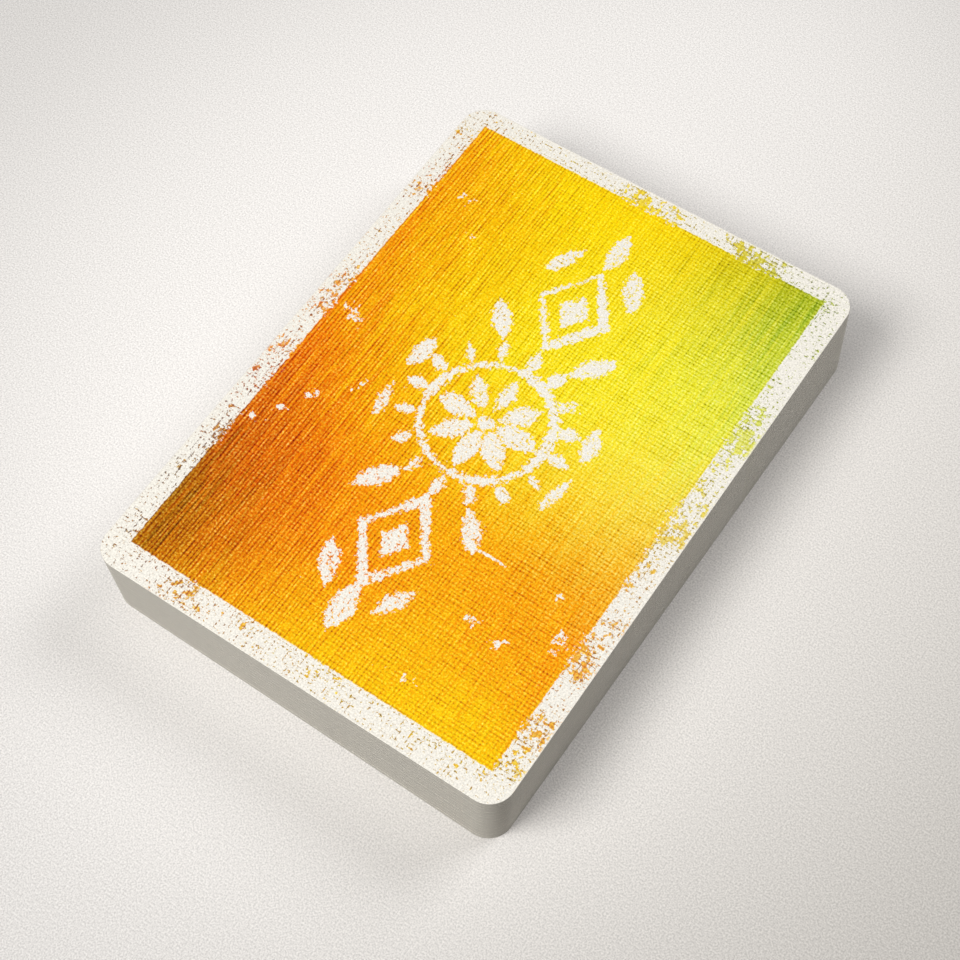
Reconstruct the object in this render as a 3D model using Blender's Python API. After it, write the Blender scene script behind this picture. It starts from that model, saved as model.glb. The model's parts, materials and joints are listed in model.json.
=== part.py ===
"""A squared deck of fifty-two playing cards, lying face down.

Each card is its own object, named for its rank and suit, and slides out over the right-hand long edge (+X).
The frame is in metres: +X runs along the short side of the deck, +Y along the long side and +Z up, and the
origin is the middle of the deck's underside.
"""

import math

import bmesh
import bpy
from mathutils import Vector

# Card: the poker format, cut with rounded corners from coated stock
CARD_WIDTH = 0.0635
CARD_LENGTH = 0.0889
CORNER_RADIUS = 0.0035
CARD_THICKNESS = 0.000265
CORNER_STEPS = 6

# Deck: squared by hand, with a film of air between the cards
AIR_FILM = 0.00001
DECK_TWIST = math.radians(0.635)
LEAN_ACROSS = 0.00026
LEAN_ALONG = -0.00057
SQUARING_SLACK = 0.00002
LOOSE_CARDS = 3
LOOSE_SHIFT = 0.00005
GOLDEN_TURN = math.pi * (3.0 - math.sqrt(5.0))

# Order of a new pack, from the bottom card to the top one
RANKS = (
    "ace",
    "two",
    "three",
    "four",
    "five",
    "six",
    "seven",
    "eight",
    "nine",
    "ten",
    "jack",
    "queen",
    "king",
)
RISING_SUITS = ("spades", "diamonds")
FALLING_SUITS = ("clubs", "hearts")

# Finishes: name, colour, roughness and metallic value
BACK_PRINT = ("back_print", (0.85, 0.48, 0.02), 0.45, 0.0)
FACE_STOCK = ("face_stock", (0.86, 0.85, 0.81), 0.45, 0.0)
CUT_EDGE = ("cut_edge", (0.60, 0.59, 0.56), 0.80, 0.0)
BACK_SLOT, FACE_SLOT, EDGE_SLOT = range(3)


def clear_scene():
    """Removes what the scene holds at the start."""
    for obj in list(bpy.data.objects):
        bpy.data.objects.remove(obj)


def finish(name, colour, roughness, metallic):
    """Makes a Principled material."""
    material = bpy.data.materials.new(name)
    material.use_nodes = True
    shader = material.node_tree.nodes["Principled BSDF"]
    shader.inputs["Base Color"].default_value = (*colour, 1.0)
    shader.inputs["Roughness"].default_value = roughness
    shader.inputs["Metallic"].default_value = metallic
    return material


def card_outline():
    """Corner points of a card, anticlockwise from above, with each corner rounded by an arc."""
    reach_x = CARD_WIDTH / 2 - CORNER_RADIUS
    reach_y = CARD_LENGTH / 2 - CORNER_RADIUS
    centres = ((reach_x, reach_y), (-reach_x, reach_y), (-reach_x, -reach_y), (reach_x, -reach_y))
    points = []
    for quarter, (x, y) in enumerate(centres):
        for step in range(CORNER_STEPS + 1):
            angle = (quarter + step / CORNER_STEPS) * math.pi / 2
            points.append((x + CORNER_RADIUS * math.cos(angle), y + CORNER_RADIUS * math.sin(angle)))
    return points


def card_mesh(materials):
    """One card with its face on z = 0 and its back at its thickness, centred on the z axis."""
    shape = bmesh.new()
    face = shape.faces.new([shape.verts.new((x, y, 0.0)) for x, y in card_outline()])
    raised = bmesh.ops.extrude_face_region(shape, geom=[face])["geom"]
    lifted = [item for item in raised if isinstance(item, bmesh.types.BMVert)]
    bmesh.ops.translate(shape, verts=lifted, vec=Vector((0.0, 0.0, CARD_THICKNESS)))
    bmesh.ops.recalc_face_normals(shape, faces=shape.faces)
    for side in shape.faces:
        if abs(side.normal.z) < 0.5:
            side.material_index = EDGE_SLOT
        else:
            side.material_index = BACK_SLOT if side.normal.z > 0 else FACE_SLOT
    mesh = bpy.data.meshes.new("card")
    shape.to_mesh(mesh)
    shape.free()
    for material in materials:
        mesh.materials.append(material)
    return mesh


def pack_order():
    """Names of the cards from the bottom of the deck to its top."""
    rising = [f"{rank}_of_{suit}" for suit in RISING_SUITS for rank in RANKS]
    falling = [f"{rank}_of_{suit}" for suit in FALLING_SUITS for rank in reversed(RANKS)]
    return rising + falling


def resting_place(level, count):
    """Where a hand leaves a card: its shift across the deck and its turn.

    The deck leaves the hand with a slight twist and lean from bottom to top. Each card keeps a little slack, in
    a direction that goes round with the level, and the lowest few lie a little further out at the near end.
    """
    rise = level / (count - 1) - 0.5
    heading = level * GOLDEN_TURN
    shift_x = LEAN_ACROSS * rise + SQUARING_SLACK * math.cos(heading)
    shift_y = LEAN_ALONG * rise + SQUARING_SLACK * math.sin(heading)
    if level < LOOSE_CARDS:
        shift_y -= LOOSE_SHIFT * (1 - level / LOOSE_CARDS)
    return shift_x, shift_y, DECK_TWIST * rise


def build_deck():
    """Stacks the cards on an empty that stands at the deck's origin."""
    deck = bpy.data.objects.new("deck", None)
    bpy.context.scene.collection.objects.link(deck)
    mesh = card_mesh([finish(*BACK_PRINT), finish(*FACE_STOCK), finish(*CUT_EDGE)])
    names = pack_order()
    for level, name in enumerate(names):
        shift_x, shift_y, turn = resting_place(level, len(names))
        card = bpy.data.objects.new(name, mesh)
        card.location = (shift_x, shift_y, level * (CARD_THICKNESS + AIR_FILM))
        card.rotation_euler = (0.0, 0.0, turn)
        card.parent = deck
        bpy.context.scene.collection.objects.link(card)


def main():
    """Builds the deck in an empty scene."""
    clear_scene()
    build_deck()


if __name__ == "__main__":
    main()
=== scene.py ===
"""Looks of a squared deck of fifty-two playing cards that lies face down on a pale table.

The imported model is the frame, in metres: +X runs along the short side of the deck, +Y along the long side
and +Z up. Each of its cards is replaced by a printed one: a die-cut blank whose marks are cut into the face
as flat areas of ink, with a worn colour print on the linen-embossed back.
"""

from __future__ import annotations

import json
import logging
import math
from dataclasses import dataclass, field
from enum import Enum, auto
from typing import Any

import bpy
from mathutils import Matrix, Vector
from mathutils.geometry import intersect_line_line_2d

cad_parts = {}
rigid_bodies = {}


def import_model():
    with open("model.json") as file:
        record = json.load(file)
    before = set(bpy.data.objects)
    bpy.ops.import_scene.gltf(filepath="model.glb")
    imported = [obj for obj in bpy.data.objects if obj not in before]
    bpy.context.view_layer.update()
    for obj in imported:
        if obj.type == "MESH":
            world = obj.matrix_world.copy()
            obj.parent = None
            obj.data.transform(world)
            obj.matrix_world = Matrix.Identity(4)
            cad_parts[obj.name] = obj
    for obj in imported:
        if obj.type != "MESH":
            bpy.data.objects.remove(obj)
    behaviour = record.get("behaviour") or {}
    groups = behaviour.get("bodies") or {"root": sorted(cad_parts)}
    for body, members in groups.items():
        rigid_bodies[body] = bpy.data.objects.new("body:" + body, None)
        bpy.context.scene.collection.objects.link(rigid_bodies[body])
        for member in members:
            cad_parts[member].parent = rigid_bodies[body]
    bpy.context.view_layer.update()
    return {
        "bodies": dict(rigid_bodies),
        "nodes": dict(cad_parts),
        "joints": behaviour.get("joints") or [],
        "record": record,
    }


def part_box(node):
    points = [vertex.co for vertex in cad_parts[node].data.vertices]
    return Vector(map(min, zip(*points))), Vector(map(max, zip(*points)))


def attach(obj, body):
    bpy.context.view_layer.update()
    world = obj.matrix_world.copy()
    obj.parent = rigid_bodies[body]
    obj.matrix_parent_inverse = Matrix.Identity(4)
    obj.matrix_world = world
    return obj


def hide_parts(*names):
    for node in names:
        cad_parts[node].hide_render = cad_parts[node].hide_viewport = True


LOG = logging.getLogger("card_deck")
MM = 0.001
TAU = 2.0 * math.pi
PRINT_MAP = "card"
SIGN_SIZE = "sign_size"
SIGN_TURN = "sign_turn"
RANGE = "ShaderNodeMapRange"
NOISE = "ShaderNodeTexNoise"
PARTS = "ShaderNodeSeparateXYZ"
JOINED = "ShaderNodeCombineXYZ"
MAPPING = "ShaderNodeMapping"
FLAT = {"noise_dimensions": "2D"}
SMOOTH = {"interpolation_type": "SMOOTHSTEP"}
Tree = bpy.types.NodeTree
Socket = bpy.types.NodeSocket
Object = bpy.types.Object
Point = tuple[float, float]
Triple = tuple[float, float, float]
Span = tuple[float, float, float, float]
Outline = list[Point]


class Op(Enum):
    """Operations on numbers, by the names of the Math node."""

    ABSOLUTE = auto()
    ADD = auto()
    ARCTAN2 = auto()
    COSINE = auto()
    DIVIDE = auto()
    FLOOR = auto()
    FRACT = auto()
    MAXIMUM = auto()
    MULTIPLY = auto()
    MULTIPLY_ADD = auto()
    PINGPONG = auto()
    ROUND = auto()
    SINE = auto()
    SUBTRACT = auto()


class Vec(Enum):
    """Operations on vectors, by the names of the Vector Math node."""

    ABSOLUTE = auto()
    ADD = auto()
    DIVIDE = auto()
    DOT_PRODUCT = auto()
    LENGTH = auto()
    MAXIMUM = auto()
    MINIMUM = auto()
    MULTIPLY = auto()
    SCALE = auto()
    SUBTRACT = auto()


def linear(hex_colour: str) -> tuple[float, float, float, float]:
    """Turns an sRGB colour into Blender's linear one.

    Args:
        hex_colour: Six hexadecimal digits.

    Returns:
        Linear red, green, blue and an alpha of 1.
    """
    shares = [int(hex_colour[place : place + 2], 16) / 255 for place in (0, 2, 4)]
    red, green, blue = (s / 12.92 if s <= 0.04045 else ((s + 0.055) / 1.055) ** 2.4 for s in shares)
    return red, green, blue, 1.0


def put(kind: str | Op | Vec, *inputs: Any, tree: Tree | None = None, **settings: Any) -> Socket | None:
    """Adds a node with its settings and links.

    Args:
        kind: Blender's name for the kind of node, or an operation on numbers or vectors.
        inputs: What each input in use gets, in order: a socket, a list of sockets, a value or None.
        tree: The tree that gets the node. Without it, that is the tree of the first socket.
        settings: The node's own options.

    Returns:
        The node's first output in use, or None where it has none.
    """
    if isinstance(kind, Enum):
        settings["operation"] = kind.name
        kind = "ShaderNodeMath" if isinstance(kind, Op) else "ShaderNodeVectorMath"
    links = [value if isinstance(value, list) else [value] for value in inputs]
    tree = tree or next(value.id_data for value in sum(links, []) if isinstance(value, Socket))
    node = tree.nodes.new(kind)
    for name, value in settings.items():
        setattr(node, name, value)
    usable = [socket for socket in node.inputs if not socket.is_unavailable]
    for socket, values in zip(usable, links):
        for value in values:
            if isinstance(value, Socket):
                tree.links.new(value, socket)
            elif value is not None:
                socket.default_value = value
    return next((socket for socket in node.outputs if not socket.is_unavailable), None)


def new_material(name: str) -> tuple[bpy.types.Material, Tree]:
    """Makes an empty node material.

    Args:
        name: The material's name.

    Returns:
        The material and its node tree.
    """
    material = bpy.data.materials.new(name)
    material.use_nodes = True
    material.node_tree.nodes.clear()
    return material, material.node_tree


def coat(colour: Socket, roughness: Socket, height: Socket, specular: float = 0.5) -> Socket:
    """Adds a Principled surface with a relief.

    Args:
        colour: Its colour.
        roughness: Its roughness.
        height: Its relief in metres.
        specular: Its specular level.

    Returns:
        The shader.
    """
    bump = put("ShaderNodeBump", 1.0, 1.0, None, height)
    shader = put("ShaderNodeBsdfPrincipled", colour, None, roughness, None, None, bump)
    shader.node.inputs["Specular IOR Level"].default_value = specular
    return shader


def set_out(name: str, data: bpy.types.ID) -> Object:
    """Adds an object with its data to the scene.

    Args:
        name: The object's name.
        data: Its mesh, curve, lens or light.

    Returns:
        The object.
    """
    thing = bpy.data.objects.new(name, data)
    bpy.context.scene.collection.objects.link(thing)
    return thing


def flat_curve(name: str, outlines: list[Outline], scale: float = MM, closed: bool = True) -> Object:
    """Draws straight-sided outlines for a Geometry Nodes tree to read.

    Args:
        name: The drawing's name.
        outlines: The points of each outline.
        scale: Metres to one unit of the points.
        closed: Whether each outline ends where it starts.

    Returns:
        The drawing as a curve object.
    """
    curve = bpy.data.curves.new(name, "CURVE")
    for outline in outlines:
        spline = curve.splines.new("POLY")
        spline.points.add(len(outline) - 1)
        for point, (x, y) in zip(spline.points, outline):
            point.co = (x * scale, y * scale, 0.0, 1.0)
        spline.use_cyclic_u = closed
    return set_out(name, curve)


@dataclass(frozen=True)
class Patch:
    """An oval place with a soft rim, where the print or the emboss differs from the rest."""

    middle_mm: Point
    reach_mm: Point
    strength: float
    degrees: float = 0.0

    def share(self, plane: Socket) -> Socket:
        """Adds the patch to a material.

        Args:
            plane: Place on the card in millimetres.

        Returns:
            Its strength in the middle, which falls to 0 at the rim.
        """
        turn = (0.0, 0.0, math.radians(self.degrees))
        sizes = ((*self.middle_mm, 0.0), turn, (*self.reach_mm, 1.0))
        place = put(MAPPING, plane, *sizes, vector_type="TEXTURE")
        away = put(Vec.LENGTH, place)
        return put(RANGE, away, 1.0, 0.0, 0.0, self.strength, **SMOOTH)


@dataclass(frozen=True)
class CardBlank:
    """Sizes of one die-cut card, read from the frame."""

    width: float
    length: float
    thickness: float
    corner_radius: float
    corner_steps: int = 14
    edge_round: float = 0.02 * MM

    @classmethod
    def of_node(cls, node: Object, place: RestPlace) -> CardBlank:
        """Measures a card of the frame.

        Args:
            node: The card in the frame.
            place: Where that card lies.

        Returns:
            The sizes of the card.
        """
        square = Matrix.Rotation(-place.turn, 3, "Z")
        corners = [square @ (vertex.co - place.centre) for vertex in node.data.vertices]
        width = 2 * max(corner.x for corner in corners)
        length = 2 * max(corner.y for corner in corners)
        side = place.long_side(node)
        straight_end = max(corners[index].y for index in side.vertices)
        thickness = max(corner.z for corner in corners) - min(corner.z for corner in corners)
        return cls(width, length, thickness, length / 2 - straight_end)

    def plane(self, tree: Tree) -> Socket:
        """Adds the place on a card to a material.

        Args:
            tree: The material's nodes.

        Returns:
            The place in millimetres from the card's middle.
        """
        size = (self.width / MM, self.length / MM, 1.0)
        uv = put("ShaderNodeUVMap", uv_map=PRINT_MAP, tree=tree)
        return put(MAPPING, uv, (-size[0] / 2, -size[1] / 2, 0.0), None, size)


@dataclass(frozen=True)
class RestPlace:
    """Where a card lies in the deck: the middle of its face, and its turn about the vertical."""

    centre: Vector
    turn: float

    @staticmethod
    def long_side(node: Object) -> bpy.types.MeshPolygon:
        """The largest upright facet of a card, which lies on a long side."""
        walls = [facet for facet in node.data.polygons if abs(facet.normal.z) < 0.5]
        return max(walls, key=lambda facet: facet.area)

    @classmethod
    def of_node(cls, node: Object) -> RestPlace:
        """Reads the place of a card of the frame.

        Args:
            node: The card in the frame.

        Returns:
            Its place.
        """
        low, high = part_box(node.name)
        across = cls.long_side(node).normal
        centre = Vector(((low.x + high.x) / 2, (low.y + high.y) / 2, low.z))
        return cls(centre, math.atan(across.y / across.x))


@dataclass(frozen=True)
class ThreadForm:
    """A groove or a crown of the threads, stronger in some places than in others.

    The count of threads is rounded so that each varies by itself. The draw is the step and the start of its
    places in the noise, whose detail and roughness follow. The profile runs over the distance from the
    groove's middle in pitches and the weight over the noise: from, to, and what they give there.
    """

    rounding: Op
    draw: Point
    noise: Point
    profile: Span
    weight: Span

    def relief(self, thread: tuple[Socket, Socket]) -> Socket:
        """Adds the form to a set of threads.

        Args:
            thread: Count of the threads and place on them.

        Returns:
            The form, from 0 to about 1.
        """
        count, run = thread
        aside = put(Op.PINGPONG, count, 0.5)
        height = put(RANGE, aside, *self.profile, **SMOOTH)
        number = put(self.rounding, count)
        number = put(Op.MULTIPLY_ADD, number, *self.draw)
        place = put(JOINED, number, run)
        uneven = put(NOISE, place, 1.0, *self.noise, **FLAT)
        strength = put(RANGE, uneven, *self.weight)
        return put(Op.MULTIPLY, height, strength)


@dataclass(frozen=True)
class LinenEmboss:
    """The fine crossed threads that a roller presses into coated card stock."""

    pitch_mm: float = 0.56
    depth_mm: float = 0.012
    wander: float = 0.8
    wander_scale: Triple = (0.8, 0.05, 1.0)
    run_scale: float = 0.2
    groove: ThreadForm = ThreadForm(
        Op.ROUND, (3.7, 0.0), (4.0, 0.8), (0.04, 0.30, 1.0, 0.0), (0.34, 0.64, 0.05, 1.2)
    )
    crown: ThreadForm = ThreadForm(
        Op.FLOOR, (5.3, 70.0), (3.0, 0.7), (0.18, 0.42, 0.0, 1.0), (0.42, 0.72, 0.0, 1.0)
    )

    def threads(self, plane: Socket) -> list[tuple[Socket, Socket]]:
        """Adds the two sets of threads to a material. No thread is quite straight.

        Args:
            plane: Place on the card in millimetres.

        Returns:
            The count of the threads and the place on them, first along the card and then across it.
        """
        axes = put(PARTS, plane).node.outputs
        found = []
        for over, run in ((axes["X"], axes["Y"]), (axes["Y"], axes["X"])):
            place = put(JOINED, over, run)
            slow = put(MAPPING, place, None, None, self.wander_scale)
            sway = put(NOISE, slow, 1.0, 1.0, **FLAT)
            count = put(Op.MULTIPLY, over, 1 / self.pitch_mm)
            count = put(Op.MULTIPLY_ADD, sway, self.wander, count)
            found.append((count, put(Op.MULTIPLY, run, self.run_scale)))
        return found

    def grooves(self, threads: list[tuple[Socket, Socket]]) -> list[Socket]:
        """Adds the grooves between the threads, along the card and across it."""
        return [self.groove.relief(thread) for thread in threads]

    def crowns(self, threads: list[tuple[Socket, Socket]]) -> list[Socket]:
        """Adds the crowns of the threads, which hold thinner ink and take a painted highlight, along the card
        and across it.
        """
        return [self.crown.relief(thread) for thread in threads]


@dataclass(frozen=True)
class BackOrnament:
    """A two-way ornament that the ink leaves bare: a rosette in a ring of points, lozenges and leaves."""

    ring_radius_mm: float = 9.0
    ring_half_mm: float = 0.62
    heart_radius_mm: float = 1.15
    petals: int = 8
    petal: Triple = (4.75, 3.1, 1.45)
    points: int = 16
    point: Triple = (11.3, 1.75, 0.85)
    lozenge_middle_mm: float = 21.2
    lozenge_half_mm: Point = (5.0, 7.0)
    lozenge_line: float = 0.13
    lozenge_core: float = 0.3
    tip: Triple = (32.6, 3.7, 1.5)
    side_leaf: Triple = (0.0, 3.3, 1.15)
    side_leaves: tuple[tuple[Point, float], ...] = (
        ((7.4, 14.6), 52.0),
        ((5.3, 28.2), 118.0),
        ((13.6, 4.6), 100.0),
    )

    def leaf(self, along: Socket, beside: Socket, sizes: Triple) -> Socket:
        """Adds a leaf with a point at each end.

        Args:
            along: Place along the leaf's rib in millimetres.
            beside: Distance from the rib.
            sizes: Where its middle lies on the rib, half its length and half its width.

        Returns:
            The depth inside the leaf in millimetres, negative outside.
        """
        middle, reach, half = sizes
        share = put(Op.MULTIPLY_ADD, along, 1 / reach, -middle / reach)
        square = put(Op.MULTIPLY, share, share)
        width = put(Op.MULTIPLY_ADD, square, -half, half)
        return put(Op.SUBTRACT, width, beside)

    def wreath(self, radius: Socket, angle: Socket, count: int, sizes: Triple) -> Socket:
        """Adds leaves that stand round the middle.

        Args:
            radius: Distance from the middle in millimetres.
            angle: Direction from the middle in radians.
            count: Number of leaves.
            sizes: Each leaf's sizes, measured outwards.

        Returns:
            The depth inside a leaf in millimetres, negative outside.
        """
        turns = put(Op.MULTIPLY, angle, count / TAU)
        aside = put(Op.PINGPONG, turns, 0.5)
        aside = put(Op.MULTIPLY, aside, TAU / count)
        cosine = put(Op.COSINE, aside)
        sine = put(Op.SINE, aside)
        along = put(Op.MULTIPLY, radius, cosine)
        beside = put(Op.MULTIPLY, radius, sine)
        return self.leaf(along, beside, sizes)

    def depth(self, plane: Socket) -> Socket:
        """Adds the whole ornament.

        Args:
            plane: Place on the card in millimetres.

        Returns:
            The depth inside the ornament in millimetres, negative outside.
        """
        axes = put(PARTS, plane).node.outputs
        radius = put(Vec.LENGTH, plane)
        angle = put(Op.ARCTAN2, axes["Y"], axes["X"])
        off_ring = put(Op.SUBTRACT, radius, self.ring_radius_mm)
        off_ring = put(Op.ABSOLUTE, off_ring)
        shapes = [
            put(Op.SUBTRACT, self.ring_half_mm, off_ring),
            put(Op.SUBTRACT, self.heart_radius_mm, radius),
            self.wreath(radius, angle, self.petals, self.petal),
            self.wreath(radius, angle, self.points, self.point),
        ]

        # What lies beyond the ring is the same in all four quarters
        quarter = put(Vec.ABSOLUTE, plane)
        sides = put(PARTS, quarter).node.outputs
        shapes.append(self.leaf(sides["Y"], sides["X"], self.tip))
        across = put(Op.MULTIPLY, sides["X"], 1 / self.lozenge_half_mm[0])
        off_middle = put(Op.SUBTRACT, sides["Y"], self.lozenge_middle_mm)
        off_middle = put(Op.ABSOLUTE, off_middle)
        lozenge = put(Op.MULTIPLY_ADD, off_middle, 1 / self.lozenge_half_mm[1], across)
        frame = put(Op.SUBTRACT, lozenge, 1.0)
        frame = put(Op.ABSOLUTE, frame)
        for share in (frame, put(Op.SUBTRACT, lozenge, self.lozenge_core)):
            inside = put(Op.SUBTRACT, self.lozenge_line, share)
            shapes.append(put(Op.MULTIPLY, inside, self.lozenge_half_mm[0]))
        for middle, degrees in self.side_leaves:
            turn = (0.0, 0.0, math.radians(degrees))
            place = put(MAPPING, quarter, (*middle, 0.0), turn, vector_type="TEXTURE")
            own = put(PARTS, place).node.outputs
            beside = put(Op.ABSOLUTE, own["Y"])
            shapes.append(self.leaf(own["X"], beside, self.side_leaf))
        whole = shapes[0]
        for shape in shapes[1:]:
            whole = put(Op.MAXIMUM, whole, shape)
        return whole


@dataclass(frozen=True)
class InkFade:
    """The fade of the back: a band of warm inks, with pools of other inks run into it."""

    band: tuple[str, ...] = ("EC3C13", "F0640D", "F4990E", "F7C20B")
    level: float = 0.518
    slope: Point = (0.0078, 0.0020)
    bow: Triple = (-0.000297, 0.000309, -0.000089)
    streak_scale: Triple = (1.6, 0.07, 1.0)
    run_mm: float = 3.0
    cloud_noise: Point = (0.09, 3.0)
    unrest: float = 0.05
    pools: tuple[tuple[str, Patch], ...] = (
        ("008000", Patch((38.3, 36.1), (38.7, 38.6), 1.0)),
        ("787612", Patch((-45.4, -32.0), (42.3, 38.9), 0.94)),
        ("E0FF82", Patch((40.9, 14.6), (59.7, 38.3), 0.56)),
        ("FDFF06", Patch((5.3, 14.8), (59.8, 46.4), 0.60)),
        ("5A3A06", Patch((-31.0, -38.0), (8.0, 22.0), 0.55)),
    )

    def colour(self, plane: Socket) -> Socket:
        """Adds the fade.

        Args:
            plane: Place on the card in millimetres.

        Returns:
            The ink's colour.
        """
        # Wet ink runs along the long grooves, so that each colour ends in streaks
        grooves = put(MAPPING, plane, None, None, self.streak_scale)
        streaks = put(NOISE, grooves, 1.0, 2.0, **FLAT)
        run = put(RANGE, streaks, 0.3, 0.7, -self.run_mm, self.run_mm)
        shift = put(JOINED, run, run)
        plane = put(Vec.ADD, plane, shift)

        axes = put(PARTS, plane).node.outputs
        squares = put(Vec.MULTIPLY, plane, plane)
        squares = put(PARTS, squares).node.outputs
        product = put(Op.MULTIPLY, axes["X"], axes["Y"])
        terms = put(JOINED, squares["X"], squares["Y"], product)
        bow = put(Vec.DOT_PRODUCT, terms, self.bow)
        rise = put(Vec.DOT_PRODUCT, plane, (*self.slope, 0.0))
        warmth = put(Op.ADD, rise, bow)
        cloud = put(NOISE, plane, *self.cloud_noise, **FLAT)
        level = put(RANGE, cloud, 0.3, 0.7, self.level - self.unrest, self.level + self.unrest)
        warmth = put(Op.ADD, warmth, level)
        colour = put("ShaderNodeValToRGB", warmth)
        stops = colour.node.color_ramp.elements
        while len(stops) < len(self.band):
            stops.new(0.5)
        for index, ink in enumerate(self.band):
            stops[index].position = index / (len(self.band) - 1)
            stops[index].color = linear(ink)
        for ink, pool in self.pools:
            share = pool.share(plane)
            colour = put("ShaderNodeMix", share, colour, linear(ink), data_type="RGBA")
        return colour


@dataclass(frozen=True)
class BackPrint:
    """A worn fade of translucent inks on linen-embossed, coated white stock, with shade painted into its
    grooves and highlights painted onto the threads' crowns.

    The wear is printed, not rubbed: the field's edge is crisp in most places and eaten in others, crumbs of
    ink lie on the border and in the bare ornament, and the grooves hold more ink than the threads' crowns.
    A noise is its scale, detail and roughness. A span is from, to, and what is found at each. A kind of crumb
    is its noise's scale and roughness, what the grooves hold, and its bar where the print is clean and dirty.
    """

    blank: CardBlank
    field_width_mm: float = 56.4
    field_length_mm: float = 81.6
    field_middle_mm: Point = (-0.15, 0.6)
    emboss: LinenEmboss = LinenEmboss()
    ornament: BackOrnament = BackOrnament()
    fade: InkFade = InkFade()
    stock: str = "F3EFE6"
    blue_taken: float = 0.006
    edge_soft_mm: float = 0.06
    edge_bite: Span = (0.45, 1.0, 0.5, 7.0)
    wear_noise: Point = (0.2, 2.0)
    wear_cloud: Span = (0.34, 0.66, -0.25, 0.55)
    rag_noise: Triple = (1.5, 5.0, 0.65)
    ornament_rag: float = 2.6
    thin_noise: Point = (0.085, 2.0)
    thin_mm: Span = (0.40, 0.62, 0.25, -0.35)
    fleck_noise: Triple = (1.1, 4.0, 0.6)
    fleck_bar: Span = (0.0, 1.5, 0.80, 0.30)
    fleck_slope: float = 6.0
    crumb_detail: float = 6.0
    crumb_wear: Point = (0.0, 1.5)
    crumb_fall: float = 0.012
    crumb_soft: float = 0.008
    rim_clear: Span = (-0.40, -0.05, 0.95, 0.15)
    stray_mm: Span = (-0.5, 0.5, 0.0, 1.0)
    grain_noise: Triple = (3.2, 1.0, 0.7)
    tooth_noise: Point = (4.2, 1.0)
    long_grooves: Span = (-20.0, 20.0, 0.82, 0.28)
    cross_grooves: Span = (-20.0, 20.0, 0.16, 0.44)
    crossing: float = 0.55
    grain_load: Span = (0.3, 0.7, 0.60, 1.24)
    groove_load: float = 0.6
    crown_load: float = -0.32
    stray_load: float = -0.2
    # Painted shade in the grooves and painted highlight on the threads' crowns
    painted_groove_shade: Span = (0.0, 2.0, 1.05, 0.36)
    crown_painted_highlight: float = 0.16
    stray_shade: Point = (-0.12, -0.42)
    tooth_tone: Span = (0.3, 0.7, 0.86, 1.12)
    ink_roughness: Point = (0.60, 0.50)
    specular: float = 0.1
    crumb_kinds: tuple[tuple[float, ...], ...] = (
        (1.9, 0.72, 0.10, 0.640, 0.5275),
        (0.85, 0.60, 0.03, 0.71, 0.4475),
    )
    worn: tuple[Patch, ...] = (
        Patch((-30.0, -21.5), (6.0, 4.5), 0.65),
        Patch((-30.0, -7.0), (6.0, 7.5), 0.75),
        Patch((-30.0, 6.5), (6.0, 7.5), 0.65),
        Patch((-30.0, 28.0), (6.0, 3.0), 0.3),
        Patch((-30.0, 39.0), (6.0, 4.0), 0.4),
        Patch((30.0, -36.0), (6.0, 9.0), 0.8),
        Patch((30.0, -20.5), (6.0, 10.0), 0.9),
        Patch((30.0, 1.0), (6.0, 10.0), 1.05),
        Patch((30.0, 16.0), (6.0, 8.5), 1.4),
        Patch((0.0, 43.0), (9.5, 4.0), 1.0),
        Patch((17.0, 43.0), (9.5, 4.0), 1.0),
        Patch((-19.0, -43.0), (8.5, 4.0), 0.5),
    )
    flocks: tuple[Patch, ...] = (
        Patch((-25.0, 4.0), (4.6, 2.2), 1.1, -25.0),
        Patch((-27.0, -16.6), (2.8, 1.4), 1.0, 20.0),
        Patch((-24.6, -13.4), (2.8, 1.3), 1.0, 50.0),
        Patch((-22.2, -9.4), (2.8, 1.4), 1.0, 60.0),
        Patch((-17.4, -4.6), (3.2, 1.3), 0.95, 75.0),
        Patch((-11.6, 0.2), (2.8, 1.6), 1.0, 70.0),
        Patch((-19.0, 24.0), (1.8, 1.6), 0.85),
        Patch((-23.0, 29.0), (3.2, 1.8), 0.8),
        Patch((14.6, -25.0), (2.8, 1.7), 1.0),
        Patch((19.2, -26.0), (2.6, 1.7), 1.0, 30.0),
        Patch((25.6, -21.5), (2.6, 4.2), 0.95, 20.0),
        Patch((22.0, -16.2), (1.8, 1.4), 0.9),
        Patch((12.0, -36.0), (5.0, 1.2), 0.8),
        Patch((11.0, -16.4), (7.5, 0.5), 1.4),
        Patch((8.0, 7.8), (4.0, 0.45), 1.4),
    )
    smooth: tuple[Patch, ...] = (
        Patch((19.0, 1.0), (13.0, 14.0), -0.45),
        Patch((-2.0, 38.0), (13.0, 9.0), -0.5),
    )

    def spread(self, plane: Socket, patches: tuple[Patch, ...], start: Socket | float) -> Socket:
        """Adds patches to what a place has at the start.

        Args:
            plane: Place on the card in millimetres.
            patches: The patches.
            start: What every place has.

        Returns:
            The sum.
        """
        whole = start
        for patch in patches:
            whole = put(Op.ADD, patch.share(plane), whole)
        return whole

    def beyond(self, plane: Socket, size: Point, middle: Point) -> Socket:
        """Adds the distance from a rectangle.

        Args:
            plane: Place on the card in millimetres.
            size: The rectangle's width and length.
            middle: Where it lies.

        Returns:
            The distance outside it in millimetres, negative inside it.
        """
        offset = put(Vec.SUBTRACT, plane, (*middle, 0.0))
        folded = put(Vec.ABSOLUTE, offset)
        past = put(Vec.SUBTRACT, folded, (size[0] / 2, size[1] / 2, 0.0))
        sides = put(PARTS, past).node.outputs
        return put(Op.MAXIMUM, sides["X"], sides["Y"])

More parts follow.
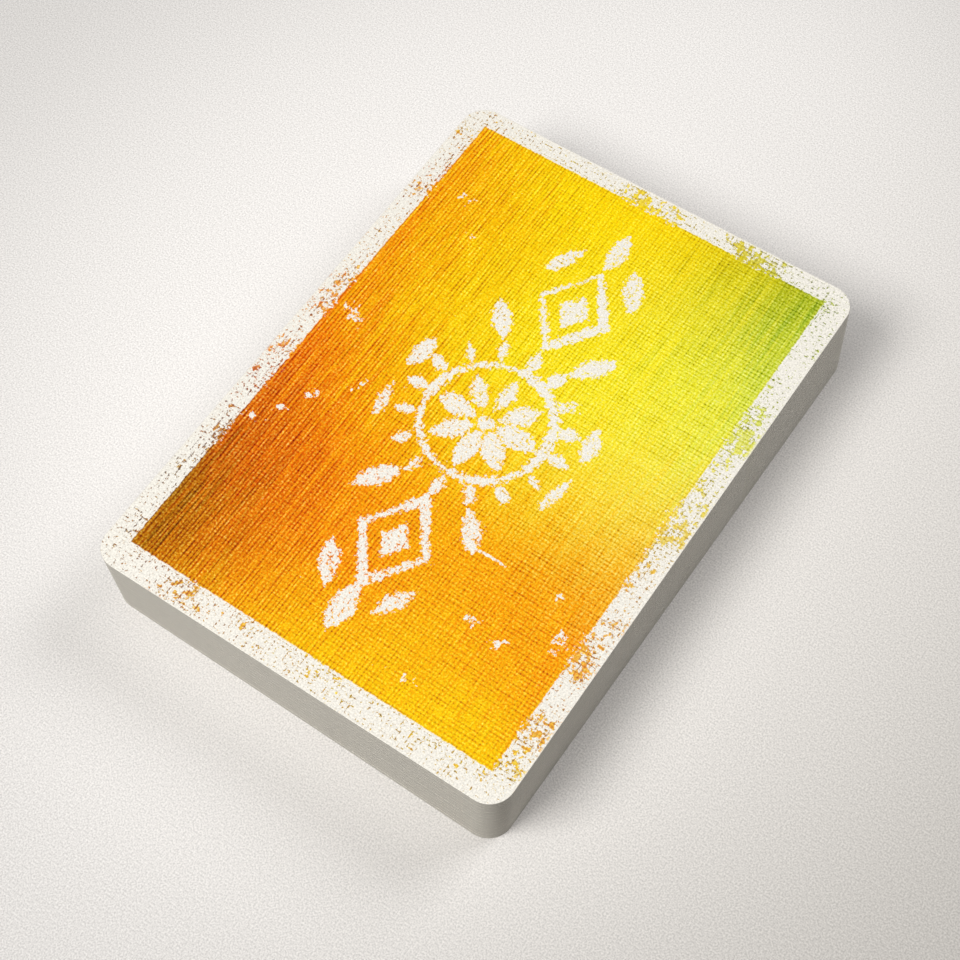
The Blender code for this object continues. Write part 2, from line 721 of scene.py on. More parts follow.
    def wear(self, plane: Socket) -> Socket:
        """Adds the wear of the print, which comes and goes and is heaviest in the worn patches.

        Args:
            plane: Place on the card in millimetres.

        Returns:
            The wear, from 0 to about 1.
        """
        cloud = put(NOISE, plane, *self.wear_noise, **FLAT)
        wear = put(RANGE, cloud, *self.wear_cloud)
        return self.spread(plane, self.worn, wear)

    def bare(self, plane: Socket, border: Socket, wear: Socket) -> Socket:
        """Adds the places that the print leaves bare: the border, the ornament, flecks and two scratches.

        Args:
            plane: Place on the card in millimetres.
            border: Distance outside the field in millimetres.
            wear: How worn the place is.

        Returns:
            The depth inside a bare place in millimetres, negative in the ink.
        """
        crumbs = put(NOISE, plane, *self.rag_noise, **FLAT)
        crumbs = put(Op.SUBTRACT, crumbs, 0.5)

        # The field's edge is eaten in the worn patches only
        bite = put(RANGE, wear, *self.edge_bite)
        bite = put(Op.MULTIPLY_ADD, crumbs, bite, border)

        # The ornament is ragged all round, and thin where the plate took little ink
        shape = self.ornament.depth(plane)
        worn = put(NOISE, plane, *self.thin_noise, **FLAT)
        thin = put(RANGE, worn, *self.thin_mm)
        shape = put(Op.ADD, shape, thin)
        shape = put(Op.MULTIPLY_ADD, crumbs, self.ornament_rag, shape)

        # Flecks come in flocks, and the narrowest flocks are scratches
        flock = self.spread(plane, self.flocks, 0.0)
        bar = put(RANGE, flock, *self.fleck_bar)
        flecks = put(NOISE, plane, *self.fleck_noise, **FLAT)
        flecks = put(Op.SUBTRACT, flecks, bar)
        flecks = put(Op.MULTIPLY, flecks, self.fleck_slope)
        whole = put(Op.MAXIMUM, bite, shape)
        return put(Op.MAXIMUM, whole, flecks)

    def crumbs(self, plane: Socket, bare: Socket, wear: Socket, weave: Socket) -> tuple[Socket, Socket]:
        """Adds the ink that lies on the bare stock: fine dust, mostly in the grooves, and torn scraps.

        Both are thickest in the worn patches, and thin out at the card's rim.

        Args:
            plane: Place on the card in millimetres.
            bare: Depth inside a bare place in millimetres.
            wear: How worn the place is.
            weave: Depth in the grooves of the emboss, from 0 to 1.

        Returns:
            The shares of dust and of scraps, from 0 to 1.
        """
        rim = self.beyond(plane, (self.blank.width / MM, self.blank.length / MM), (0.0, 0.0))
        clear = put(RANGE, rim, *self.rim_clear)
        shares = []
        for scale, roughness, held, cleanest, dirtiest in self.crumb_kinds:
            specks = put(NOISE, plane, scale, self.crumb_detail, roughness, **FLAT)
            specks = put(Op.MULTIPLY_ADD, weave, held, specks)
            bar = put(RANGE, wear, *self.crumb_wear, cleanest, dirtiest)
            bar = put(Op.MULTIPLY_ADD, bare, self.crumb_fall, bar)
            specks = put(Op.SUBTRACT, specks, bar)
            share = put(RANGE, specks, -self.crumb_soft, self.crumb_soft, 0.0, 1.0)
            shares.append(put(Op.MULTIPLY, share, clear))
        return shares[0], shares[1]

    def material(self) -> bpy.types.Material:
        """Builds the printed back.

        Returns:
            The material.
        """
        # Ink on satin coated stock: strong colour that glows over white, with dull highlights on the threads
        material, tree = new_material("worn_ink_on_linen_card_back")
        plane = self.blank.plane(tree)
        threads = self.emboss.threads(plane)
        along, across = self.emboss.grooves(threads)
        crown_along, crown_across = self.emboss.crowns(threads)
        weave = put(Op.MAXIMUM, along, across)
        border = self.beyond(plane, (self.field_width_mm, self.field_length_mm), self.field_middle_mm)
        wear = self.wear(plane)
        bare = self.bare(plane, border, wear)
        printed = put(RANGE, bare, self.edge_soft_mm, -self.edge_soft_mm, 0.0, 1.0)
        dust, scraps = self.crumbs(plane, bare, wear, weave)
        solid = put(Op.MAXIMUM, printed, scraps)
        ink = put(Op.MAXIMUM, solid, dust)
        dusty = put(Op.SUBTRACT, ink, solid)
        strayed = put(RANGE, border, *self.stray_mm)

        # Long grooves show most at the left, crossed ones at the right, and both most where they meet
        side = put(PARTS, plane).node.outputs["X"]
        long_share = put(RANGE, side, *self.long_grooves)
        cross_share = put(RANGE, side, *self.cross_grooves)
        deep = put(Op.MULTIPLY, along, long_share)
        deep = put(Op.MULTIPLY_ADD, across, cross_share, deep)
        dots = put(Op.MULTIPLY, along, across)
        deep = put(Op.MULTIPLY_ADD, dots, self.crossing, deep)
        light = put(Op.MULTIPLY, crown_along, long_share)
        light = put(Op.MULTIPLY_ADD, crown_across, cross_share, light)
        pressed = self.spread(plane, self.smooth, 1.0)
        deep = put(Op.MULTIPLY, deep, pressed)

        # Ink that lies thicker is deeper in colour as well as darker, and every ink takes up blue
        grain = put(NOISE, plane, *self.grain_noise, **FLAT)
        load = put(RANGE, grain, *self.grain_load)
        load = put(Op.MULTIPLY_ADD, deep, self.groove_load, load)
        load = put(Op.MULTIPLY_ADD, light, self.crown_load, load)

        # Ink that strays off the field keeps the colour of its edge, but is thinner and, as dust, dirtier
        load = put(Op.MULTIPLY_ADD, strayed, self.stray_load, load)
        (x, y), width, length = self.field_middle_mm, self.field_width_mm / 2, self.field_length_mm / 2
        inner = put(Vec.MAXIMUM, plane, (x - width, y - length, 0.0))
        inner = put(Vec.MINIMUM, inner, (x + width, y + length, 0.0))
        dirt = put(RANGE, dusty, 0.0, 1.0, *self.stray_shade)
        dirt = put(Op.MULTIPLY, dirt, strayed)
        colour = put("ShaderNodeGamma", self.fade.colour(inner), load)
        colour = put(Vec.SUBTRACT, colour, (0.0, 0.0, self.blue_taken))
        colour = put(Vec.MAXIMUM, colour, (0.0, 0.0, 0.0))
        # Painted shade and highlight: the grooves are painted darker and the threads' crowns lighter, and
        # stray dust is darkened as dirt
        painted_light_and_dirt = put(RANGE, deep, *self.painted_groove_shade)
        painted_light_and_dirt = put(Op.MULTIPLY_ADD, light, self.crown_painted_highlight, painted_light_and_dirt)
        painted_light_and_dirt = put(Op.ADD, painted_light_and_dirt, dirt)
        colour = put(Vec.SCALE, colour, painted_light_and_dirt)
        colour = put("ShaderNodeMix", ink, linear(self.stock), colour, data_type="RGBA")

        # The paper's tooth is too fine to show, so it is drawn as a coarser grain
        tooth = put(NOISE, plane, *self.tooth_noise, **FLAT)
        tone = put(RANGE, tooth, *self.tooth_tone)
        colour = put(Vec.SCALE, colour, tone)
        roughness = put(RANGE, ink, 0.0, 1.0, *self.ink_roughness)

        height = put(Op.ADD, along, across)
        height = put(Op.MULTIPLY, height, -self.emboss.depth_mm * MM)
        put("ShaderNodeOutputMaterial", coat(colour, roughness, height, self.specular))
        return material


@dataclass(frozen=True)
class CutEdge:
    """Die-cut edge of laminated stock: two papers, greyed partly by painted shade between the cards, with a
    dark film of glue between them.
    """

    card_step_mm: float
    # Grey partly for the stock and partly for painted shade between the cards
    paper: str = "BFBBB2"
    core: str = "8C8A84"
    nap_mm: float = 0.02
    core_level: float = 0.48
    fibre_noise: Triple = (3.0, 4.0, 0.7)
    core_share: Span = (0.05, 0.14, 0.45, 0.0)
    fibre_tone: Span = (0.3, 0.7, 0.92, 1.06)
    fibre_roughness: Span = (0.3, 0.7, 0.75, 0.9)

    def material(self) -> bpy.types.Material:
        """Builds the cut edge.

        Returns:
            The material.
        """
        # Cut paper: a matt grey wall that the edges of the cards rule finely. Its grey is partly the stock's
        # own tone and partly painted shade between the cards
        material, tree = new_material("die_cut_card_edge")
        place = put("ShaderNodeTexCoord", tree=tree).node.outputs["Object"]
        place = put(Vec.MULTIPLY, place, (1 / MM,) * 3)
        height = put(PARTS, place).node.outputs["Z"]
        level = put(Op.DIVIDE, height, self.card_step_mm)
        ply = put(Op.FRACT, level)
        middle = put(Op.SUBTRACT, ply, self.core_level)
        middle = put(Op.ABSOLUTE, middle)
        core = put(RANGE, middle, *self.core_share)

        # Paper fibres are too fine to show, so they are drawn as tufts ten times as thick
        fibres = put(NOISE, place, *self.fibre_noise)
        tone = put(RANGE, fibres, *self.fibre_tone)
        # The paper's grey holds painted shade between the cards as well as the stock's tone
        colour = put("ShaderNodeMix", core, linear(self.paper), linear(self.core), data_type="RGBA")
        colour = put(Vec.SCALE, colour, tone)
        roughness = put(RANGE, fibres, *self.fibre_roughness)
        nap = put(Op.MULTIPLY, fibres, self.nap_mm * MM)
        put("ShaderNodeOutputMaterial", coat(colour, roughness, nap))
        return material


@dataclass(frozen=True)
class CoatedFace:
    """The coated face of a card, bare or under offset ink, with the same emboss as the back."""

    blank: CardBlank
    name: str
    colour: str
    emboss: LinenEmboss = LinenEmboss()
    cloud_noise: Triple = (0.4, 4.0, 0.6)
    cloud_tone: Span = (0.3, 0.7, 0.95, 1.03)
    painted_groove_tone: float = -0.05
    sheen: Span = (0.0, 1.5, 0.42, 0.56)

    def material(self) -> bpy.types.Material:
        """Builds the finish: a satin coat whose ink or stock clouds a little, with shade painted darker into
        the grooves.

        Returns:
            The material.
        """
        # Satin coated card: an even colour with a soft sheen, which is duller in the grooves
        material, tree = new_material(self.name)
        plane = self.blank.plane(tree)
        along, across = self.emboss.grooves(self.emboss.threads(plane))
        deep = put(Op.ADD, along, across)
        cloud = put(NOISE, plane, *self.cloud_noise, **FLAT)
        tone = put(RANGE, cloud, *self.cloud_tone)
        # Painted shade: the colour is darkened in the grooves
        tone = put(Op.MULTIPLY_ADD, deep, self.painted_groove_tone, tone)
        colour = put(Vec.SCALE, linear(self.colour)[:3], tone)
        roughness = put(RANGE, deep, *self.sheen)
        height = put(Op.MULTIPLY, deep, -self.emboss.depth_mm * MM)
        put("ShaderNodeOutputMaterial", coat(colour, roughness, height))
        return material


class Ink(Enum):
    """The inks of the faces, by colour."""

    RED = "B3202B"
    BLACK = "1F1E1D"
    OCHRE = "C4932A"

    @property
    def finish(self) -> str:
        """The name of the ink's material."""
        return f"{self.name.lower()}_offset_ink"


class Suit(Enum):
    """The four suits, with the ink of each."""

    SPADES = (1, Ink.BLACK)
    HEARTS = (2, Ink.RED)
    DIAMONDS = (3, Ink.RED)
    CLUBS = (4, Ink.BLACK)

    @property
    def ink(self) -> Ink:
        """The suit's ink."""
        return self.value[1]


class Rank(Enum):
    """The thirteen ranks, with the index of each and the columns and rows in which its signs stand."""

    ACE = ("A", ((0, 0),))
    TWO = ("2", ((0, 1), (0, -1)))
    THREE = ("3", (*TWO[1], (0, 0)))
    FOUR = ("4", ((-1, 1), (1, 1), (-1, -1), (1, -1)))
    FIVE = ("5", (*FOUR[1], (0, 0)))
    SIX = ("6", (*FOUR[1], (-1, 0), (1, 0)))
    SEVEN = ("7", (*SIX[1], (0, 1 / 2)))
    EIGHT = ("8", (*SEVEN[1], (0, -1 / 2)))
    NINE = ("9", (*FIVE[1], (-1, 1 / 3), (1, 1 / 3), (-1, -1 / 3), (1, -1 / 3)))
    TEN = ("10", (*NINE[1][:4], *NINE[1][5:], (0, 2 / 3), (0, -2 / 3)))
    JACK = ("J", ((-1.05, 0.98), (1.05, -0.98)))
    QUEEN = ("Q", JACK[1])
    KING = ("K", JACK[1])

    @property
    def index(self) -> str:
        """The character in the card's corners."""
        return self.value[0]

    @property
    def places(self) -> tuple[Point, ...]:
        """Columns and rows of the signs."""
        return self.value[1]


@dataclass(frozen=True)
class SuitSign:
    """Outlines of the suits' signs, about one unit from the middle to the top and to the foot."""

    steps: int = 60
    disc_radius: float = 0.43
    discs: tuple[Point, ...] = ((0.0, 0.55), (-0.52, -0.14), (0.52, -0.14))
    diamond_half: float = 0.76
    diamond_bow: float = 0.92
    half_foot: tuple[Point, ...] = ((0.44, -1.0), (0.1, -0.55), (0.06, 0.2))
    heart_waves: tuple[float, ...] = (13.0, -5.0, -2.0, -1.0)
    heart_place: Point = (0.96, 0.14)
    spade_place: Point = (-0.84, 0.11)

    def round(self, step: int) -> float:
        """The angle of a step round the middle."""
        return TAU * (step + 0.5) / self.steps

    def heart(self, size: float, lift: float) -> Outline:
        """Draws a heart.

        Args:
            size: Half its width, or less than 0 for a heart on its head.
            lift: How far it is moved up.

        Returns:
            One closed outline.
        """
        outline = []
        for angle in map(self.round, range(self.steps)):
            waves = enumerate(self.heart_waves)
            height = sum(wave * math.cos((order + 1) * angle) for order, wave in waves) / 16
            outline.append((abs(size) * math.sin(angle) ** 3, size * height + lift))
        return outline

    def disc(self, middle: Point, radius: float) -> Outline:
        """Draws a disc.

        Args:
            middle: Where it lies.
            radius: Its radius.

        Returns:
            One closed outline.
        """
        x, y = middle
        angles = map(self.round, range(self.steps))
        return [(x + radius * math.cos(angle), y + radius * math.sin(angle)) for angle in angles]

    def joined(self, shapes: list[Outline]) -> Outline:
        """Joins shapes that lie round the middle into one outline.

        Args:
            shapes: Outlines that overlap.

        Returns:
            The outermost point in each direction.
        """
        outline = []
        for angle in map(self.round, range(2 * self.steps)):
            angle /= 2
            ray = Vector((math.cos(angle), math.sin(angle)))
            hits = []
            for shape in shapes:
                for start, end in zip(shape, shape[1:] + shape[:1]):
                    hit = intersect_line_line_2d(Vector((0.0, 0.0)), 4 * ray, Vector(start), Vector(end))
                    hits.append(hit.length if hit else 0.0)
            outline.append(tuple(max(hits) * ray))
        return outline

    def outline(self, suit: Suit) -> Outline:
        """Draws a suit's sign.

        Args:
            suit: The suit.

        Returns:
            One closed outline.
        """
        foot = [*((-x, y) for x, y in reversed(self.half_foot)), *self.half_foot]
        if suit is Suit.HEARTS:
            return self.heart(*self.heart_place)
        if suit is Suit.SPADES:
            return self.joined([self.heart(*self.spade_place), foot])
        if suit is Suit.CLUBS:
            discs = [self.disc(middle, self.disc_radius) for middle in self.discs]
            return self.joined([*discs, foot])
        half, inner = self.diamond_half, self.diamond_bow / 2
        corners = [(0.0, 1.0), (-half, 0.0), (0.0, -1.0), (half, 0.0)]
        outline = []
        for (x, y), (next_x, next_y) in zip(corners, corners[1:] + corners[:1]):
            outline += [(x, y), ((x + next_x) * inner, (y + next_y) * inner)]
        return outline


@dataclass(frozen=True)
class CourtEmblem:
    """What fills the frame of a court card: a headpiece at each end, and a belt of lozenges.

    Lengths are in millimetres from the middle of the card, and each headpiece is drawn above it.
    """

    frame_half: Point = (19.0, 33.0)
    frame_line: float = 0.45
    band_gap: float = 0.8
    notch: float = 2.6
    bead_gap: float = 0.4
    bead_steps: int = 24
    belt: tuple[float, ...] = (-13.2, -6.6, 0.0, 6.6, 13.2)
    lozenge_half: Point = (2.5, 1.6)
    band: Triple = (8.6, 5.0, 8.0)
    tip_radius: float = 1.15
    peaks: dict[Rank, tuple[Point, ...]] = field(
        default_factory=lambda: {
            Rank.JACK: ((-8.4, 15.0), (0.0, 13.2), (8.4, 19.5)),
            Rank.QUEEN: ((-10.4, 15.5), (-5.4, 18.0), (0.0, 19.6), (5.4, 18.0), (10.4, 15.5)),
            Rank.KING: ((-10.6, 18.6), (0.0, 21.4), (10.6, 18.6)),
        }
    )

    def headpiece(self, peaks: tuple[Point, ...]) -> list[Outline]:
        """Draws a band, a row of peaks over it and a bead on each peak.

        Args:
            peaks: The points of the peaks, from the left.

        Returns:
            Its outlines.
        """
        half, low, high = self.band
        foot = high + self.band_gap
        edge = [(-half, foot)]
        for place, (x, y) in enumerate(peaks):
            if place:
                edge.append(((x + peaks[place - 1][0]) / 2, foot + self.notch))
            edge.append((x, y))
        edge.append((half, foot))
        lift = self.bead_gap + self.tip_radius
        beads = [SuitSign(self.bead_steps).disc((x, y + lift), self.tip_radius) for x, y in peaks]
        return [[(-half, low), (half, low), (half, high), (-half, high)], edge, *beads]

    def outlines(self, rank: Rank) -> list[Outline]:
        """Draws a rank's emblem.

        Args:
            rank: The rank.

        Returns:
            The outlines, or none for a rank without an emblem.
        """
        if rank not in self.peaks:
            return []
        above = self.headpiece(self.peaks[rank])
        drawn = [*above, *([(-x, -y) for x, y in outline] for outline in above)]
        across, along = self.lozenge_half
        for x in self.belt:
            drawn.append([(x - across, 0.0), (x, -along), (x + across, 0.0), (x, along)])
        for inset in (0.0, self.frame_line):
            x, y = self.frame_half[0] - inset, self.frame_half[1] - inset
            drawn.append([(-x, -y), (x, -y), (x, y), (-x, y)])
        return drawn


@dataclass
class FacePrint:
    """The drawings for the faces: a sign for each suit, and its places and an emblem for each rank."""

    column_mm: float = 12.4
    row_mm: float = 27.0
    sign_mm: float = 5.4
    ace_mm: float = 10.0
    court_sign_mm: float = 3.6
    corner_sign_mm: float = 2.2
    corner_sign_place_mm: Point = (-26.3, 30.6)

    def __post_init__(self) -> None:
        """Makes the drawings."""
        sign = SuitSign()
        emblem = CourtEmblem()
        self.signs = {suit: flat_curve(f"{suit.name}_sign", [sign.outline(suit)]) for suit in Suit}
        self.places = {rank: self.sign_places(rank) for rank in Rank}
        self.emblems = {rank: flat_curve(f"{rank.name}_emblem", emblem.outlines(rank)) for rank in Rank}

    def sign_places(self, rank: Rank) -> Object:
        """Marks where a rank's signs stand. Those in the lower half stand on their heads.

        Args:
            rank: The rank.

        Returns:
            A point for each sign, with its size and turn.
        """
        sizes = dict.fromkeys((Rank.JACK, Rank.QUEEN, Rank.KING), self.court_sign_mm)
        sizes[Rank.ACE] = self.ace_mm
        size = sizes.get(rank, self.sign_mm)
        x, y = self.corner_sign_place_mm
        rows = [(column * self.column_mm, row * self.row_mm, size) for column, row in rank.places]
        rows += [(x, y, self.corner_sign_mm), (-x, -y, self.corner_sign_mm)]
        mesh = bpy.data.meshes.new(f"{rank.name}_places")
        mesh.from_pydata([(x * MM, y * MM, 0.0) for x, y, size in rows], [], [])
        turns = [math.pi if y < 0 else 0.0 for x, y, size in rows]
        for name, values in ((SIGN_SIZE, [size for x, y, size in rows]), (SIGN_TURN, turns)):
            mesh.attributes.new(name, "FLOAT", "POINT").data.foreach_set("value", values)
        return set_out(mesh.name, mesh)

    def clear(self) -> None:
        """Takes the drawings out of the scene."""
        for drawings in (self.signs, self.places, self.emblems):
            for drawing in drawings.values():
                bpy.data.objects.remove(drawing)


@dataclass
class CardCutter:
    """A Geometry Nodes tree that cuts one card from its sizes, prints its face and lays it in its place.

    Each area of ink on the face is a flat facet of its own, and the stock is cut out round it.
    """

    letter_steps: int = 5
    weld: float = 1e-6
    flat_limit: float = 0.99

    SIZES = ("Width", "Length", "Corner radius", "Thickness", "Edge round", "Turn", "Index size")
    PLACES = ("Centre", "Index place")
    DRAWINGS = ("Edge profile", "Sign", "Sign places", "Emblem")
    FINISHES = ("Back", "Face", "Edge", "Ink", "Emblem ink")

    def __post_init__(self) -> None:
        """Builds the tree with its named inputs."""
        self.tree = bpy.data.node_groups.new("card_cutter", "GeometryNodeTree")
        self.names: dict[str, str] = {}
        self.declare("NodeSocketFloat", self.SIZES)
        self.declare("NodeSocketInt", ("Corner steps",))
        self.declare("NodeSocketString", ("Index",))
        self.declare("NodeSocketVector", self.PLACES)
        self.declare("NodeSocketObject", self.DRAWINGS)
        self.declare("NodeSocketMaterial", self.FINISHES)
        self.tree.interface.new_socket("Card", in_out="OUTPUT", socket_type="NodeSocketGeometry")
        self.wire()

    def declare(self, kind: str, names: tuple[str, ...]) -> None:
        """Adds named inputs of one kind and keeps their identifiers.

        Args:
            kind: Blender's name for the kind of input.
            names: The inputs' names.
        """
        for name in names:
            socket = self.tree.interface.new_socket(name, in_out="INPUT", socket_type=kind)
            self.names[name] = socket.identifier

    def drawing(self, given: Any, name: str) -> Socket:
        """The geometry of a drawing that the tree is given."""
        return put("GeometryNodeObjectInfo", given[name]).node.outputs["Geometry"]

    def signs(self, given: Any) -> Socket:
        """Sets the suit's sign on each of its places and the index in two corners.

        Args:
            given: The tree's inputs.

        Returns:
            The outlines as the reader sees them.
        """
        tree = self.tree
        size = put("GeometryNodeInputNamedAttribute", SIGN_SIZE, data_type="FLOAT", tree=tree)
        turn = put("GeometryNodeInputNamedAttribute", SIGN_TURN, data_type="FLOAT", tree=tree)
        angles = put(JOINED, 0.0, 0.0, turn)
        heading = put("FunctionNodeEulerToRotation", angles)
        places = self.drawing(given, "Sign places")
        sign = self.drawing(given, "Sign")
        signs = put("GeometryNodeInstanceOnPoints", places, None, sign, None, None, heading, size)
        index = put("GeometryNodeStringToCurves", given["Index"], given["Index size"])
        index.node.align_x = "CENTER"
        index.node.align_y = "MIDDLE"
        index = put("GeometryNodeTransform", index, given["Index place"])
        opposite = put("GeometryNodeTransform", index, None, (0.0, 0.0, math.pi))
        drawn = put("GeometryNodeJoinGeometry", [signs, index, opposite])
        drawn = put("GeometryNodeRealizeInstances", drawn)
        return put("GeometryNodeSetSplineResolution", drawn, None, self.letter_steps)

    def face(self, given: Any, outline: Socket) -> list[Socket]:
        """Cuts the face. It is seen from below, so its drawings are mirrored and its facets point down.

        Args:
            given: The tree's inputs.
            outline: The outline of the flat face.

        Returns:
            The areas of stock, of ink and of the emblem's ink.
        """
        mirror = (-1.0, 1.0, 1.0)
        signs = put("GeometryNodeTransform", self.signs(given), None, None, mirror)
        emblem = put("GeometryNodeTransform", self.drawing(given, "Emblem"), None, None, mirror)
        stock = put("GeometryNodeJoinGeometry", [outline, signs, emblem])
        areas = []
        for drawn, finish in ((stock, "Face"), (signs, "Ink"), (emblem, "Emblem ink")):
            area = put("GeometryNodeFillCurve", drawn, mode="TRIANGLES")
            area = put("GeometryNodeFlipFaces", area)
            areas.append(put("GeometryNodeSetMaterial", area, None, given[finish]))
        return areas

    def wire(self) -> None:
        """Wires the tree from the outline to the finished card."""
        tree = self.tree
        given = tree.nodes.new("NodeGroupInput").outputs
        margin = put(Op.MULTIPLY, given["Edge round"], 2.0)
        width = put(Op.SUBTRACT, given["Width"], margin)
        length = put(Op.SUBTRACT, given["Length"], margin)
        radius = put(Op.SUBTRACT, given["Corner radius"], given["Edge round"])
        outline = put("GeometryNodeCurvePrimitiveQuadrilateral", width, length, mode="RECTANGLE")
        outline = put("GeometryNodeFilletCurve", outline, given["Corner steps"], radius, mode="POLY")
        flat_path = put("GeometryNodeSetCurveNormal", outline, mode="Z_UP")
        wall = put("GeometryNodeCurveToMesh", flat_path, self.drawing(given, "Edge profile"))
        lift = put(JOINED, 0.0, 0.0, given["Thickness"])
        back = put("GeometryNodeFillCurve", outline, mode="NGONS")
        back = put("GeometryNodeTransform", back, lift)
        back = put("GeometryNodeSetMaterial", back, None, given["Back"])
        card = put("GeometryNodeJoinGeometry", [wall, back, *self.face(given, outline)])
        card = put("GeometryNodeMergeByDistance", card, None, self.weld)
        spot = put("GeometryNodeInputPosition", tree=tree)
        size = put(JOINED, given["Width"], given["Length"], 1.0)
        share = put(Vec.DIVIDE, spot, size)
        share = put(Vec.ADD, share, (0.5, 0.5, 0.0))
        stored = {"data_type": "FLOAT2", "domain": "CORNER"}
        card = put("GeometryNodeStoreNamedAttribute", card, None, PRINT_MAP, share, **stored)
        angles = put(JOINED, 0.0, 0.0, given["Turn"])
        turn = put("FunctionNodeEulerToRotation", angles)
        card = put("GeometryNodeTransform", card, given["Centre"], turn)
        card = put("GeometryNodeRealizeInstances", card)
        normal = put("GeometryNodeInputNormal", tree=tree)
        upright = put(PARTS, normal).node.outputs["Z"]
        upright = put(Op.ABSOLUTE, upright)
        test = {"operation": "LESS_THAN", "data_type": "FLOAT"}
        cut = put("FunctionNodeCompare", upright, self.flat_limit, **test)
        card = put("GeometryNodeSetMaterial", card, cut, given["Edge"])
        put("NodeGroupOutput", card)

    def cut(self, name: str, values: dict[str, Any]) -> Object:
        """Cuts one card.

        Args:
            name: The finished piece's name.
            values: What each named input gets.

        Returns:
            The card as a plain mesh object at the origin.
        """
        holder = set_out(f"{name}_blank", bpy.data.meshes.new(f"{name}_blank"))
        modifier = holder.modifiers.new("cutter", "NODES")
        modifier.node_group = self.tree
        for label, value in values.items():
            modifier[self.names[label]] = value
        graph = bpy.context.evaluated_depsgraph_get()
        mesh = bpy.data.meshes.new_from_object(holder.evaluated_get(graph))
        mesh.name = name
        holder.modifiers.remove(modifier)
        bpy.data.objects.remove(holder)
        rounded = [abs(facet.normal.z) < self.flat_limit for facet in mesh.polygons]
        mesh.polygons.foreach_set("use_smooth", rounded)
        return set_out(name, mesh)


@dataclass
class Deck:
    """The fifty-two printed cards: the frame's cards by name, and the names that each body holds."""

    nodes: dict[str, Object]
    bodies: dict[str, list[str]]
    index_place_mm: Point = (-26.3, 36.8)
    index_size_mm: float = 8.0
    rim_steps: int = 3

    def __post_init__(self) -> None:
        """Reads the cards from the frame."""
        nodes = self.nodes
        self.body_of = {node: body for body, members in self.bodies.items() for node in members}
        self.places = {name: RestPlace.of_node(node) for name, node in nodes.items()}
        self.order = sorted(nodes, key=lambda name: self.places[name].centre.z)
        lowest = self.order[0]
        self.blank = CardBlank.of_node(nodes[lowest], self.places[lowest])
        heights = [self.places[name].centre.z for name in self.order[:2]]
        self.step = heights[1] - heights[0]

    def edge_profile(self) -> Object:
        """Draws the section of a cut edge, outwards from the flat faces, with both rims rounded.

        Returns:
            A curve object for the cutter.
        """
        reach = self.blank.edge_round
        top = self.blank.thickness
        lower = []
        for step in range(self.rim_steps + 1):
            angle = step / self.rim_steps * math.pi / 2
            lower.append((reach * math.sin(angle), -reach * (1 - math.cos(angle))))
        upper = [(x, -top - y) for x, y in reversed(lower)]
        return flat_curve("edge_profile", [lower + upper], 1.0, False)

    def build(self) -> list[Object]:
        """Cuts, prints and places every card.

        Returns:
            The cards from the bottom of the deck to its top.
        """
        blank = self.blank
        cutter = CardCutter()
        drawings = FacePrint()
        profile = self.edge_profile()
        inks = {ink: CoatedFace(blank, ink.finish, ink.value).material() for ink in Ink}
        shared = {
            "Width": blank.width,
            "Length": blank.length,
            "Corner radius": blank.corner_radius,
            "Thickness": blank.thickness,
            "Edge round": blank.edge_round,
            "Corner steps": blank.corner_steps,
            "Edge profile": profile,
            "Index size": self.index_size_mm * MM,
            "Index place": (*(length * MM for length in self.index_place_mm), 0.0),
            "Back": BackPrint(blank).material(),
            "Face": CoatedFace(blank, "coated_card_face", "F3F1EC").material(),
            "Edge": CutEdge(self.step / MM).material(),
            "Emblem ink": inks[Ink.OCHRE],
        }
        pieces = []
        for name in self.order:
            rank_name, suit_name = name.upper().split("_OF_")
            rank, suit = Rank[rank_name], Suit[suit_name]
            own = {
                "Centre": self.places[name].centre,
                "Turn": self.places[name].turn,
                "Index": rank.index,
                "Sign": drawings.signs[suit],
                "Sign places": drawings.places[rank],
                "Emblem": drawings.emblems[rank],
                "Ink": inks[suit.ink],
            }
            piece = cutter.cut(f"card_{name}", {**shared, **own})
            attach(piece, self.body_of[name])
            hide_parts(name)
            pieces.append(piece)
        bpy.data.objects.remove(profile)
        drawings.clear()
        return pieces


@dataclass(frozen=True)
class Softbox:
    """A square soft light that faces the deck.

    Its azimuth is in degrees from the front (-Y) round by the right, its elevation in degrees over the table,
    its side and its distance in metres and its power in watts.
    """

    name: str
    azimuth: float
    elevation: float
    side: float
    power: float
    colour: str = "FFFEFB"
    distance: float = 0.8

    def build(self) -> None:
        """Sets the light in its place."""
        light = bpy.data.lights.new(self.name, "AREA")
        light.shape = "SQUARE"
        light.size = self.side
        light.energy = self.power
        light.color = linear(self.colour)[:3]
        lamp = set_out(self.name, light)
        towards = Matrix.Rotation(math.radians(self.azimuth), 3, "Z") @ Vector((0.0, -1.0, 0.0))
        rise = math.radians(self.elevation)
        lamp.location = self.distance * (towards * math.cos(rise) + Vector((0.0, 0.0, math.sin(rise))))
        lamp.rotation_euler = (-lamp.location).to_track_quat("-Z", "Y").to_euler()


